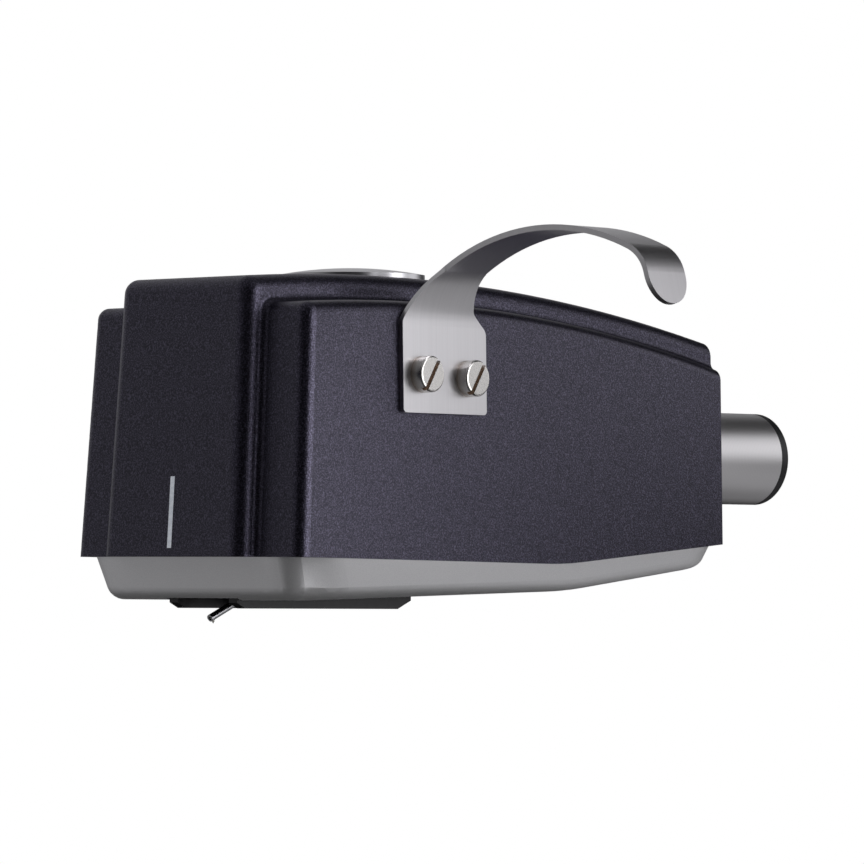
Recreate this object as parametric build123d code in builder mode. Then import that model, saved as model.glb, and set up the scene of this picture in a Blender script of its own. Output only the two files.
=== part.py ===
# Turntable stylus cartridge in its own headshell, with plug, finger lift and moving-coil generator.
# Millimetres. Origin on the plug's axis at the shell's rear face. X runs rearwards, Z up,
# and the finger lift is on the side towards -Y.
import os
from math import cos, radians, sin, tan

from build123d import *

# Shell, measured at the front of its lower edge
shell_len = 55.1
front_half = 13.7
rear_half = 7.65
panel_half = 8.5
spine_rear_half = 6.5
panel_step = 1.8
front_draft = 3.5
side_draft = 1.4
wall = 1.5
roof = 1.7
corner_r = 1.05
shoulder_r = 1.0
panel_r = 1.3
spine_r = 1.25
step_r = 0.6
rear_wall = 2.0

# Lengthwise arcs of the top: the shoulders lie a step below the spine. Places named _back and _in
# are measured rearwards from the shell's front edge
crown_back = 14.6
crown_r = 194.0
spine_top = 14.05
shoulder_drop = 2.25

# Lower edge of the shell, where the cover meets it
edge_front_z = -9.1
edge_knee_z = -9.45
edge_rear_z = -7.6
knee_back = 33.6
knee_r = 50.0

# Bottom cover
cover_front_z = -12.65
cover_knee_z = -11.68
cover_knee_back = 35.6
cover_rear_z = -9.4
cover_inset = 0.15
cover_draft = 20.0
cover_floor = 1.2
cover_front_r = 4.2
cover_rear_r = 2.9
cover_round = 1.5
tray_rise = 1.0
lip_height = 1.5
lip_root = 0.5
lip_wall = 1.0
slip = 0.05

# Plug
plug_r = 4.0
plug_relief_r = 3.8
plug_relief_len = 3.5
plug_metal_len = 11.3
plug_len = 12.2
plug_bore_r = 3.2
stem_r = 3.75
stem_len = 9.0
socket_boss_r = 5.5
contact_r = 0.5
contact_circle_r = 1.9
contact_proud = 0.3
locking_pin_r = 0.7
locking_pin_x = 2.5
locking_pin_top = 5.3

# Finger lift and its screws
lift_back = 17.65
lift_base_z = 6.0
lift_t = 0.45
lift_half = 5.3
lift_waist_half = 3.6
lift_arch_half = 2.6
lift_tip_half = 2.4
lift_bottom = -3.3
lift_rear_low = 3.55
lift_waist_high = 4.95
lift_front_low = 4.2
lift_neck_high = 8.2
lift_edge_r = 0.8
lift_rise = 3.81
lift_bend_r = 5.5
lift_bend_deg = 59.3
lift_arch_r = 20.0
lift_arch_deg = 56.3
lift_curl_r = 3.4
lift_curl_deg = 50.5
lift_tip_len = 2.6
lift_screw_spacing = 5.8
lift_front_drop = 0.18
lift_rear_drop = 0.37
lift_screw_r = 0.8
lift_screw_head_r = 1.5
lift_screw_head_h = 1.15
lift_screw_len = 3.2
lift_boss_r = 1.9
lift_boss_depth = 3.4
lift_corner_r = 0.35
slot_turn = 56.0
slot_w = 0.4
slot_depth = 0.5

# Badge and index line
badge_back = 18.4
badge_r = 6.0
badge_rim = 0.5
badge_dome = 0.55
badge_seat_z = 13.9
badge_stud_r = 1.25
badge_stud_len = 1.6
line_w = 0.5
line_depth = 0.25
line_low_z = -8.4
line_high_z = -2.6

# Generator
gen_front_in = 2.0
gen_len = 19.4
gen_bottom_z = -13.25
gen_half = 4.1
gen_gap = 0.2
gen_nose_in = 0.9
gen_nose_up = 0.45
gen_heel_in = 1.5
gen_heel_up = 0.7
gen_brow = 6.1
ear_back = 12.1
ear_half_x = 3.0
ear_corner_r = 2.7
ear_t = 1.5
ear_screw_y = 6.9
ear_screw_r = 1.0
ear_screw_head_r = 1.9
ear_screw_head_h = 1.3
post_r = 2.2
ear_screw_len = 3.5

# Stylus system, laid out along the cantilever's slanting axis
stylus_back = 3.1
tip_z = -14.5
stylus_drop = 0.6
slant = 25.0
pivot_back = 9.7
cantilever_r = 0.3
cantilever_bore_r = 0.18
cantilever_past = 0.4
stylus_r = 0.14
stylus_cone = 0.25
arm_half = 1.2
arm_w = 0.5
hub_r = 0.55
hub_wall = 0.15
wire_slip = 0.03
coil_w = 1.0
coil_len = 0.5
coil_gap = 0.1
pole_gap = 0.75
pole_t = 1.0
pole_half = 3.1
pole_low = -1.5
pole_high = 5.5
pole_hole_r = 1.1
damper_gap = 0.06
damper_r = 0.75
damper_t = 0.4
damper_hole_r = 0.17
pole_pin_r = 1.5
pole_pin_bore_r = 0.3
magnet_low = 1.9
magnet_len = 6.3
magnet_chamfer = 0.3
yoke_t = 1.6
wire_r = 0.1
wire_len = 3.0

# Wiring
terminal_r = 0.4
terminal_pitch = 2.0
terminal_z = -4.0
terminal_in = 2.4
terminal_out = 4.0
lead_r = 0.3
sleeve_r = 0.65
sleeve_len = 3.0
tail_len = 1.5
bend_share = 0.45

# Cover screw
cover_screw_x = -5.2
cover_screw_r = 1.0
cover_screw_head_r = 1.9
cover_screw_top_z = -4.9
cover_boss_r = 2.4

# Fits and finish: seated pieces' gap, spare depth of screw holes, broken edges of small turned
# pieces, and how far cutting shapes reach past what they cut
seat_gap = 0.01
hole_spare = 0.5
small_round = 0.2
overshoot = 2.0

os.makedirs("parts", exist_ok=True)

# Places along the shell
crown_x = crown_back - shell_len
knee_x = knee_back - shell_len
cover_knee_x = cover_knee_back - shell_len
lift_x = lift_back - shell_len
badge_x = badge_back - shell_len
gen_front_x = gen_front_in - shell_len
gen_rear_x = gen_front_x + gen_len
ear_x = ear_back - shell_len
stylus_x = stylus_back - shell_len
pivot_x = pivot_back - shell_len

# Shared outlines: the drafted plan of the shell, and its lower edge seen from the side
slope = (front_half - rear_half) / shell_len
low_z = cover_front_z - overshoot
high_z = spine_top + overshoot
far_front_x = -shell_len - panel_step - overshoot
half_room = front_half + overshoot
edge_fall = (edge_knee_z - edge_front_z) / (knee_x + shell_len)
edge_rise = (edge_rear_z - edge_knee_z) / -knee_x


def side_y(x, z):
    # Half-width of the shell's outer wall at one place.
    return front_half - slope * (x + shell_len) - (z - edge_front_z) * tan(radians(side_draft))


def plan(z, inset, front_w, rear_w, step=0.0, rear_x=0.0):
    # Corners of the drafted plan outline at the height z, moved inwards by inset.
    rise = z - edge_front_z
    narrowing = (front_w - rear_w) / (shell_len + step)
    front_x = inset - shell_len - step + rise * tan(radians(front_draft))
    lean = inset + rise * tan(radians(side_draft))
    front_y = front_w - lean - narrowing * (front_x + shell_len + step)
    rear_y = rear_w - lean - narrowing * rear_x
    return [(front_x, -front_y), (rear_x, -rear_y), (rear_x, rear_y), (front_x, front_y)]


def edge_z(x):
    # Height of the shell's lower edge behind the knee.
    return edge_knee_z + (x - knee_x) * edge_rise


def cover_z(x):
    # Height of the cover's underside behind its knee.
    return cover_knee_z + (x - cover_knee_x) * (cover_rear_z - cover_knee_z) / -cover_knee_x


def edge_line(lift):
    # The shell's lower edge seen from the side, raised by lift.
    return [
        (far_front_x, edge_knee_z + (far_front_x - knee_x) * edge_fall + lift),
        (knee_x, edge_knee_z + lift),
        (overshoot, edge_z(overshoot) + lift),
    ]


def floor_line(lift):
    # The cover's lowest line seen from the side, raised by lift.
    fall = (cover_knee_z - cover_front_z) / (cover_knee_x + shell_len)
    return [
        (far_front_x, cover_knee_z + (far_front_x - cover_knee_x) * fall + lift),
        (cover_knee_x, cover_knee_z + lift),
        (overshoot, cover_z(overshoot) + lift),
    ]


with BuildSketch(Plane.XZ) as below_edge:
    with BuildLine():
        Polyline(*edge_line(0), (overshoot, low_z), (far_front_x, low_z), close=True)
    make_face()
    fillet(below_edge.vertices().sort_by_distance((knee_x, edge_knee_z, 0))[0], radius=knee_r)

# Shoulders: the wide body of the shell, with drafted walls and an arched top
with BuildPart() as shoulders:
    for z in (low_z, high_z):
        with BuildSketch(Plane.XY.offset(z)):
            with BuildLine():
                Polyline(*plan(z, 0, front_half, rear_half), close=True)
            make_face()
    loft(ruled=True)
    with BuildSketch(Plane.XZ):
        with Locations((crown_x, spine_top - crown_r)):
            Circle(crown_r - shoulder_drop)
    extrude(amount=half_room, both=True, mode=Mode.INTERSECT)
    uprights = shoulders.edges().filter_by(lambda e: abs(e.tangent_at(0.5).Z) > 0.9)
    fillet(uprights.group_by(Axis.X)[0], radius=corner_r)
    rims = shoulders.faces().sort_by(Axis.Z)[-1].edges().sort_by(Axis.X)[:-1]
    fillet(rims, radius=shoulder_r)

# Spine: the raised middle of the shell, whose front end is the panel
with BuildPart() as spine:
    for z in (low_z, high_z):
        with BuildSketch(Plane.XY.offset(z)):
            with BuildLine():
                Polyline(*plan(z, 0, panel_half, spine_rear_half, panel_step), close=True)
            make_face()
    loft(ruled=True)
    with BuildSketch(Plane.XZ):
        with Locations((crown_x, spine_top - crown_r)):
            Circle(crown_r)
    extrude(amount=half_room, both=True, mode=Mode.INTERSECT)
    uprights = spine.edges().filter_by(lambda e: abs(e.tangent_at(0.5).Z) > 0.9)
    fillet(uprights.group_by(Axis.X)[0], radius=panel_r)
    rims = spine.faces().sort_by(Axis.Z)[-1].edges().sort_by(Axis.X)[:-1]
    fillet(rims, radius=spine_r)

# Hollow of the shell, open below
with BuildPart() as hollow:
    for z in (low_z, high_z):
        with BuildSketch(Plane.XY.offset(z)):
            with BuildLine():
                Polyline(*plan(z, wall, front_half, rear_half, rear_x=-rear_wall), close=True)
            make_face()
    loft(ruled=True)
    with BuildSketch(Plane.XZ):
        with Locations((crown_x, spine_top - crown_r)):
            Circle(crown_r - shoulder_drop - roof)
    extrude(amount=half_room, both=True, mode=Mode.INTERSECT)

side_tilt = tan(radians(side_draft))
lift_plane = Plane(
    origin=(lift_x, -side_y(lift_x, lift_base_z), lift_base_z),
    x_dir=(1, slope, 0),
    z_dir=(slope, -1, side_tilt),
)
lift_spots = [
    (lift_screw_spacing / 2, -lift_rear_drop),
    (-lift_screw_spacing / 2, -lift_front_drop),
]
panel_tilt = radians(front_draft)
line_z = (line_low_z + line_high_z) / 2
line_plane = Plane(
    origin=(-shell_len - panel_step + (line_z - edge_front_z) * tan(panel_tilt), 0, line_z),
    x_dir=(0, -1, 0),
    z_dir=(-cos(panel_tilt), 0, sin(panel_tilt)),
)

screw_face_z = cover_z(cover_screw_x + cover_screw_head_r)
screw_cone = cover_screw_head_r - cover_screw_r

# Axis of the stylus system: local Z runs from the pivot up and rearwards, local X across
pivot_z = tip_z + stylus_drop - (stylus_x - pivot_x) * tan(radians(slant))
slant_dir = (cos(radians(slant)), 0, sin(radians(slant)))
motor = Plane(origin=(pivot_x, 0, pivot_z), x_dir=(0, 1, 0), z_dir=slant_dir)

# Shell: cast in one piece with its posts, bosses and plug socket
with BuildPart() as shell:
    add(shoulders.part)
    add(spine.part)
    fillet(shell.edges().filter_by(Edge.is_interior), radius=step_r)
    add(hollow.part, mode=Mode.SUBTRACT)
    # Socket boss for the plug's stem, and the post below it for the cover's screw
    with BuildSketch(Plane.YZ.offset(-stem_len)):
        Circle(socket_boss_r)
    extrude(amount=stem_len)
    with BuildSketch(Plane.XY.offset(low_z)):
        with Locations((cover_screw_x, 0)):
            Circle(cover_boss_r)
    extrude(amount=-low_z - plug_bore_r)
    # Posts for the generator's ears, hung from the roof
    with BuildSketch(Plane.XY):
        with Locations((ear_x, ear_screw_y), (ear_x, -ear_screw_y)):
            Circle(post_r)
    extrude(amount=spine_top - shoulder_drop - roof / 2)
    # Bosses behind the finger lift's screws
    with BuildSketch(lift_plane.offset(-lift_boss_depth)):
        with Locations(*lift_spots):
            Circle(lift_boss_r)
    extrude(amount=lift_boss_depth - wall / 2)
    extrude(below_edge.sketch, amount=half_room, both=True, mode=Mode.SUBTRACT)
    # Bores for the plug, the screws and the badge's stud
    with BuildSketch(Plane.YZ.offset(-stem_len)):
        Circle(stem_r + seat_gap)
    extrude(amount=stem_len + overshoot, mode=Mode.SUBTRACT)
    with BuildSketch(Plane.XY.offset(low_z)):
        with Locations((cover_screw_x, 0)):
            Circle(cover_screw_r + seat_gap)
    extrude(amount=cover_screw_top_z + hole_spare - low_z, mode=Mode.SUBTRACT)
    with BuildSketch(Plane.XY.offset(-overshoot)):
        with Locations((ear_x, ear_screw_y), (ear_x, -ear_screw_y)):
            Circle(ear_screw_r + seat_gap)
    extrude(amount=overshoot + ear_screw_len + hole_spare, mode=Mode.SUBTRACT)
    with BuildSketch(lift_plane.offset(overshoot)):
        with Locations(*lift_spots):
            Circle(lift_screw_r + seat_gap)
    extrude(amount=-lift_boss_depth - 2 * overshoot, mode=Mode.SUBTRACT)
    with BuildSketch(Plane.XY.offset(badge_seat_z)):
        with Locations((badge_x, 0)):
            Circle(badge_r + seat_gap)
    extrude(amount=overshoot, mode=Mode.SUBTRACT)
    with BuildSketch(Plane.XY.offset(badge_seat_z - badge_stud_len)):
        with Locations((badge_x, 0)):
            Circle(badge_stud_r + seat_gap)
    extrude(amount=badge_stud_len + overshoot, mode=Mode.SUBTRACT)
    with BuildSketch(line_plane):
        Rectangle(line_w, line_high_z - line_low_z)
    extrude(amount=-line_depth, mode=Mode.SUBTRACT)

# Index line: white filling of a groove in the front panel, above the stylus
with BuildPart() as index_line:
    with BuildSketch(line_plane):
        Rectangle(line_w, line_high_z - line_low_z)
    extrude(amount=-line_depth)

# Badge: bare domed disc with a stud, pressed into the top of the spine
with BuildPart() as badge:
    with BuildSketch(Plane.XZ):
        with BuildLine():
            axis_top = (badge_x, badge_seat_z + badge_rim + badge_dome)
            rim_top = (badge_x + badge_r, badge_seat_z + badge_rim)
            stud_low = badge_seat_z - badge_stud_len
            Polyline(
                axis_top,
                (badge_x, stud_low),
                (badge_x + badge_stud_r, stud_low),
                (badge_x + badge_stud_r, badge_seat_z),
                (badge_x + badge_r, badge_seat_z),
                rim_top,
            )
            dome_r = (badge_r**2 + badge_dome**2) / (2 * badge_dome)
            RadiusArc(rim_top, axis_top, -dome_r)
        make_face()
    revolve(axis=Axis((badge_x, 0, 0), (0, 0, 1)))

# Bottom cover: shallow boat-shaped tray with a locating lip and a window for the generator
with BuildPart() as cover_tray:
    top_z = edge_rear_z + tray_rise
    lean = tan(radians(cover_draft))
    spread_front = (top_z - edge_front_z) * lean - cover_inset
    spread_knee = (top_z - edge_knee_z) * lean - cover_inset
    spread_rear = (top_z - edge_rear_z) * lean - cover_inset
    knee_half = side_y(knee_x, edge_knee_z) + spread_knee
    with BuildSketch(Plane.XY.offset(top_z)) as tray_plan:
        with BuildLine():
            near_front = (-shell_len - spread_front, -front_half - spread_front)
            near_rear = (spread_rear, -rear_half - spread_rear)
            far_rear = (spread_rear, rear_half + spread_rear)
            far_front = (-shell_len - spread_front, front_half + spread_front)
            ThreePointArc(near_front, (knee_x, -knee_half), near_rear)
            Line(near_rear, far_rear)
            ThreePointArc(far_rear, (knee_x, knee_half), far_front)
            Line(far_front, near_front)
        make_face()
        fillet(tray_plan.vertices().group_by(Axis.X)[0], radius=cover_front_r)
        fillet(tray_plan.vertices().group_by(Axis.X)[-1], radius=cover_rear_r)
    extrude(amount=low_z - top_z, taper=cover_draft)
    with BuildSketch(Plane.XZ) as above_floor:
        with BuildLine():
            Polyline(*floor_line(0), (overshoot, high_z), (far_front_x, high_z), close=True)
        make_face()
        knee = above_floor.vertices().sort_by_distance((cover_knee_x, cover_knee_z, 0))[0]
        fillet(knee, radius=knee_r)
    extrude(amount=half_room, both=True, mode=Mode.INTERSECT)
    floor = cover_tray.faces().filter_by(lambda f: f.normal_at().Z < -0.9)
    rim = [e for e in floor.edges() if sum(e in f.edges() for f in floor) == 1]
    fillet(rim, radius=cover_round)

with BuildPart() as cover_hollow:
    for z in (low_z, high_z):
        with BuildSketch(Plane.XY.offset(z)):
            with BuildLine():
                lip_in = slip + lip_wall
                inner = plan(z, wall + lip_in, front_half, rear_half, rear_x=-rear_wall - lip_in)
                Polyline(*inner, close=True)
            make_face()
    loft(ruled=True)
    with BuildSketch(Plane.XZ):
        with BuildLine():
            Polyline(*floor_line(cover_floor), (overshoot, high_z), (far_front_x, high_z), close=True)
        make_face()
    extrude(amount=half_room, both=True, mode=Mode.INTERSECT)

with BuildPart() as cover_lip:
    for z in (low_z, high_z):
        with BuildSketch(Plane.XY.offset(z)):
            with BuildLine():
                outer = plan(z, wall + slip, front_half, rear_half, rear_x=-rear_wall - slip)
                Polyline(*outer, close=True)
            make_face()
    loft(ruled=True)
    with BuildSketch(Plane.XZ):
        with BuildLine():
            Polyline(*edge_line(-lip_root), *reversed(edge_line(lip_height)), close=True)
        make_face()
    extrude(amount=half_room, both=True, mode=Mode.INTERSECT)
    with BuildSketch(Plane.XY.offset(low_z)):
        with Locations((cover_screw_x, 0)):
            Circle(cover_boss_r + slip)
    extrude(amount=high_z - low_z, mode=Mode.SUBTRACT)

with BuildPart() as bottom_cover:
    add(cover_tray.part)
    extrude(below_edge.sketch, amount=half_room, both=True, mode=Mode.INTERSECT)
    add(cover_lip.part)
    add(cover_hollow.part, mode=Mode.SUBTRACT)
    # Boss for the screw, as high as the shell's post comes down
    with BuildSketch(Plane.XZ):
        with BuildLine():
            near_x = cover_screw_x - cover_boss_r
            far_x = cover_screw_x + cover_boss_r
            Polyline(
                (near_x, cover_z(near_x) + cover_floor / 2),
                (far_x, cover_z(far_x) + cover_floor / 2),
                (far_x, edge_z(far_x)),
                (near_x, edge_z(near_x)),
                close=True,
            )
        make_face()
    extrude(amount=cover_boss_r, both=True)
    # Countersunk hole for the screw, and the window for the generator
    with BuildSketch(Plane.XZ):
        with BuildLine():
            Polyline(
                (cover_screw_x, low_z),
                (cover_screw_x + cover_screw_head_r + slip, low_z),
                (cover_screw_x + cover_screw_head_r + slip, screw_face_z),
                (cover_screw_x + cover_screw_r + slip, screw_face_z + screw_cone),
                (cover_screw_x + cover_screw_r + slip, high_z),
                (cover_screw_x, high_z),
                close=True,
            )
        make_face()
    revolve(axis=Axis((cover_screw_x, 0, 0), (0, 0, 1)), mode=Mode.SUBTRACT)
    with BuildSketch(Plane.XY.offset(low_z)):
        with Locations(((gen_front_x + gen_rear_x) / 2, 0)):
            Rectangle(gen_rear_x - gen_front_x + 2 * gen_gap, 2 * (gen_half + gen_gap))
    extrude(amount=high_z - low_z, mode=Mode.SUBTRACT)

# Cover screw: countersunk, slotted, up into the post under the plug's socket
with BuildPart() as cover_screw:
    with BuildSketch(Plane.XZ):
        with BuildLine():
            Polyline(
                (cover_screw_x, screw_face_z),
                (cover_screw_x + cover_screw_head_r, screw_face_z),
                (cover_screw_x + cover_screw_r, screw_face_z + screw_cone),
                (cover_screw_x + cover_screw_r, cover_screw_top_z),
                (cover_screw_x, cover_screw_top_z),
                close=True,
            )
        make_face()
    revolve(axis=Axis((cover_screw_x, 0, 0), (0, 0, 1)))
    with BuildSketch(Plane.XY.offset(screw_face_z)):
        with Locations((cover_screw_x, 0)):
            Rectangle(slot_w, 3 * cover_screw_head_r)
    extrude(amount=slot_depth, mode=Mode.SUBTRACT)

# Plug: nickel-plated tube, its stem in the shell's socket and its barrel for the tonearm
with BuildPart() as plug_tube:
    with BuildSketch(Plane.XZ):
        with BuildLine():
            Polyline(
                (-stem_len, plug_bore_r),
                (-stem_len, stem_r),
                (0, stem_r),
                (0, plug_relief_r),
                (plug_relief_len, plug_relief_r),
                (plug_relief_len, plug_r),
                (plug_metal_len, plug_r),
                (plug_metal_len, plug_bore_r),
                close=True,
            )
        make_face()
    revolve(axis=Axis.X)
    with BuildSketch(Plane.XY):
        with Locations((locking_pin_x, 0)):
            Circle(locking_pin_r)
    extrude(amount=plug_r + overshoot, mode=Mode.SUBTRACT)

# Locking pin: stands out of the top of the plug for the tonearm's collar
with BuildPart() as locking_pin:
    with BuildSketch(Plane.XY.offset(plug_bore_r + seat_gap)):
        with Locations((locking_pin_x, 0)):
            Circle(locking_pin_r)
    extrude(amount=locking_pin_top - plug_bore_r - seat_gap)
    fillet(locking_pin.faces().sort_by(Axis.Z)[-1].edges(), radius=small_round)

terminal_spots = [(terminal_pitch * (i - 1.5), terminal_z) for i in range(4)]
contact_spots = [
    (contact_circle_r * cos(radians(a)), contact_circle_r * sin(radians(a))) for a in (45, 135, 225, 315)
]

# Insulator: black core of the plug, with a rim over the tube's end
with BuildPart() as plug_insulator:
    with BuildSketch(Plane.YZ.offset(-stem_len)):
        Circle(plug_bore_r - seat_gap)
    extrude(amount=stem_len + plug_metal_len)
    with BuildSketch(Plane.YZ.offset(plug_metal_len)):
        Circle(plug_r)
    extrude(amount=plug_len - plug_metal_len)
    fillet(plug_insulator.faces().sort_by(Axis.X)[-1].edges(), radius=small_round)
    with BuildSketch(Plane.YZ.offset(-stem_len - overshoot)):
        with Locations(*contact_spots):
            Circle(contact_r + seat_gap)
    extrude(amount=stem_len + plug_len + 2 * overshoot, mode=Mode.SUBTRACT)

# Contact pins: four, with domed ends for the tonearm's spring contacts and tails for the leads
with BuildPart() as contact_pins:
    with BuildSketch(Plane.YZ.offset(-stem_len - tail_len)):
        with Locations(*contact_spots):
            Circle(contact_r)
    extrude(amount=stem_len + tail_len + plug_len + contact_proud)
    fillet(contact_pins.faces().group_by(Axis.X)[-1].edges(), radius=small_round)

# Finger lift: steel strip, its base flat on the shell's side, arched outwards and curled down
lift_profile = Plane(origin=lift_plane.origin, x_dir=lift_plane.z_dir, z_dir=-lift_plane.x_dir)
lift_above = Plane(origin=lift_plane.origin, x_dir=lift_plane.x_dir, z_dir=lift_plane.y_dir)
with BuildPart() as finger_lift:
    with BuildSketch(lift_profile):
        with BuildLine() as strip:
            base = Line((0, lift_bottom), (0, lift_rise))
            bend = JernArc(base @ 1, base % 1, lift_bend_r, -lift_bend_deg)
            arch = JernArc(bend @ 1, bend % 1, lift_arch_r, -lift_arch_deg)
            curl = JernArc(arch @ 1, arch % 1, lift_curl_r, -lift_curl_deg)
            Line(curl @ 1, curl @ 1 + (curl % 1) * lift_tip_len)
            offset(amount=lift_t, side=Side.RIGHT)
        make_face()
    extrude(amount=lift_half, both=True)
    # Root above the base, seen square to the shell's side: waisted behind, one slope in front
    with BuildSketch(lift_plane):
        with BuildLine():
            FilletPolyline(
                (-lift_half, lift_bottom - overshoot),
                (lift_half, lift_bottom - overshoot),
                (lift_half, lift_rear_low),
                (lift_waist_half, lift_waist_high),
                (lift_arch_half, lift_neck_high),
                (lift_arch_half, lift_rise + lift_arch_r),
                (-lift_arch_half, lift_rise + lift_arch_r),
                (-lift_arch_half, lift_neck_high),
                (-lift_half, lift_front_low),
                radius=lift_edge_r,
                close=True,
            )
        make_face()
    extrude(amount=2 * lift_arch_r, both=True, mode=Mode.INTERSECT)
    # Taper of the arch towards its tip, seen from above
    reach = finger_lift.vertices().sort_by(Axis(lift_plane.origin, lift_plane.z_dir))[-1]
    lift_reach = lift_plane.to_local_coords(reach.center()).Z
    with BuildSketch(lift_above):
        with BuildLine():
            right = [
                (lift_half + overshoot, lift_t),
                (lift_half + overshoot, -lift_bend_r / 2),
                (lift_arch_half, -lift_bend_r / 2),
                (lift_tip_half, -lift_reach),
                (lift_tip_half, -lift_reach - overshoot),
            ]
            left = [(-x, y) for x, y in reversed(right)]
            Polyline(*right, *left, close=True)
        make_face()
    extrude(amount=2 * lift_arch_r, both=True, mode=Mode.INTERSECT)
    corners = finger_lift.edges().filter_by(lambda e: abs(e.length - lift_t) < seat_gap)
    tip = corners.sort_by(Axis(lift_plane.origin, lift_plane.z_dir))[-2:]
    fillet(tip, radius=0.97 * lift_tip_half)
    corners = finger_lift.edges().filter_by(lambda e: abs(e.length - lift_t) < seat_gap)
    fillet(corners.sort_by(Axis.Z)[:2], radius=lift_corner_r)
    with BuildSketch(lift_plane.offset(-overshoot)):
        with Locations(*lift_spots):
            Circle(lift_screw_r + slip)
    extrude(amount=2 * overshoot + lift_t, mode=Mode.SUBTRACT)

# Finger lift screws: two slotted cheese heads into the shell's bosses
with BuildPart() as finger_lift_screws:
    with BuildSketch(lift_plane.offset(lift_t - lift_screw_len)):
        with Locations(*lift_spots):
            Circle(lift_screw_r)
    extrude(amount=lift_screw_len + lift_screw_head_h / 2)
    with BuildSketch(lift_plane.offset(lift_t)):
        with Locations(*lift_spots):
            Circle(lift_screw_head_r)
    extrude(amount=lift_screw_head_h)
    outer_faces = finger_lift_screws.faces().sort_by(Axis(lift_plane.origin, lift_plane.z_dir))[-2:]
    fillet(outer_faces.edges(), radius=small_round)
    with BuildSketch(lift_plane.offset(lift_t + lift_screw_head_h)):
        with Locations(*lift_spots):
            Rectangle(3 * lift_screw_head_r, slot_w, rotation=slot_turn)
    extrude(amount=-slot_depth, mode=Mode.SUBTRACT)

# Generator body: black moulded carrier with cheeks, a slanting pocket and two ears
with BuildPart() as generator_body:
    with BuildSketch(Plane.XZ):
        with BuildLine():
            Polyline(
                (gen_front_x + gen_nose_in, gen_bottom_z),
                (gen_rear_x - gen_heel_in, gen_bottom_z),
                (gen_rear_x, gen_bottom_z + gen_heel_up),
                (gen_rear_x, 0),
                (gen_front_x + gen_brow, 0),
                (gen_front_x, -gen_brow),
                (gen_front_x, gen_bottom_z + gen_nose_up),
                close=True,
            )
        make_face()
    extrude(amount=gen_half, both=True)
    with BuildSketch(Plane.XY.offset(-ear_t)):
        with Locations((ear_x, 0)):
            Rectangle(2 * ear_half_x, 2 * (ear_screw_y + ear_half_x))
    extrude(amount=ear_t)
    ear_corners = generator_body.edges().filter_by(Axis.Z).filter_by(
        lambda e: abs(e.center().Y) > ear_screw_y
    )
    fillet(ear_corners, radius=ear_corner_r)
    # Pocket for the magnet circuit, open to the front and down along the slant
    with BuildSketch(motor.offset(magnet_len - pole_gap + yoke_t + seat_gap)):
        with BuildLine():
            wide = pole_half + seat_gap
            Polyline(
                (-wide, pole_low - seat_gap),
                (wide, pole_low - seat_gap),
                (wide, pole_high + seat_gap),
                (-wide, pole_high + seat_gap),
                close=True,
            )
        make_face()
    extrude(amount=-gen_len, mode=Mode.SUBTRACT)
    with BuildSketch(Plane.YZ.offset(gen_rear_x + overshoot)):
        with Locations(*terminal_spots):
            Circle(terminal_r + seat_gap)
    extrude(amount=-terminal_in - overshoot, mode=Mode.SUBTRACT)
    with BuildSketch(Plane.XY.offset(-ear_t)):
        with Locations((ear_x, ear_screw_y), (ear_x, -ear_screw_y)):
            Circle(ear_screw_r + slip)
    extrude(amount=ear_t, mode=Mode.SUBTRACT)

# Generator screws: two cheese heads up through the ears into the shell's posts
with BuildPart() as generator_screws:
    with BuildSketch(Plane.XY.offset(-ear_t)):
        with Locations((ear_x, ear_screw_y), (ear_x, -ear_screw_y)):
            Circle(ear_screw_r)
    extrude(amount=ear_t + ear_screw_len)
    with BuildSketch(Plane.XY.offset(-ear_t)):
        with Locations((ear_x, ear_screw_y), (ear_x, -ear_screw_y)):
            Circle(ear_screw_head_r)
    extrude(amount=-ear_screw_head_h)
    with BuildSketch(Plane.XY.offset(-ear_t - ear_screw_head_h)):
        with Locations((ear_x, ear_screw_y), (ear_x, -ear_screw_y)):
            Rectangle(3 * ear_screw_head_r, slot_w)
    extrude(amount=slot_depth, mode=Mode.SUBTRACT)

# Magnet circuit: front pole plate, magnet, rear yoke and pole pin, along the slanting axis
with BuildPart() as front_pole:
    with BuildSketch(motor.offset(-pole_gap - pole_t)):
        with Locations((0, (pole_low + pole_high) / 2)):
            Rectangle(2 * pole_half, pole_high - pole_low)
        Circle(pole_hole_r, mode=Mode.SUBTRACT)
    extrude(amount=pole_t)

with BuildPart() as magnet:
    with BuildSketch(motor.offset(-pole_gap)):
        with Locations((0, (magnet_low + pole_high) / 2)):
            Rectangle(2 * pole_half, pole_high - magnet_low)
    extrude(amount=magnet_len)
    chamfer(magnet.edges().filter_by(Axis((0, 0, 0), slant_dir)), length=magnet_chamfer)

with BuildPart() as rear_yoke:
    with BuildSketch(motor.offset(magnet_len - pole_gap)):
        with Locations((0, (pole_low + pole_high) / 2)):
            Rectangle(2 * pole_half, pole_high - pole_low)
        Circle(pole_pin_r + seat_gap, mode=Mode.SUBTRACT)
    extrude(amount=yoke_t)

damper_front = coil_w / 2 + damper_gap
with BuildPart() as pole_pin:
    with BuildSketch(motor.offset(damper_front + damper_t)):
        Circle(pole_pin_r)
        Circle(pole_pin_bore_r, mode=Mode.SUBTRACT)
    extrude(amount=magnet_len - pole_gap + yoke_t - damper_front - damper_t)

# Damper: rubber ring between the armature and the pole pin
with BuildPart() as damper:
    with BuildSketch(motor.offset(damper_front)):
        Circle(damper_r)
        Circle(damper_hole_r, mode=Mode.SUBTRACT)
    extrude(amount=damper_t)

# Tie wire: holds the armature from behind and bends at the pivot
with BuildPart() as tie_wire:
    with BuildSketch(motor.offset(-hub_wall / 2)):
        Circle(wire_r)
    extrude(amount=hub_wall / 2 + wire_len)

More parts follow.
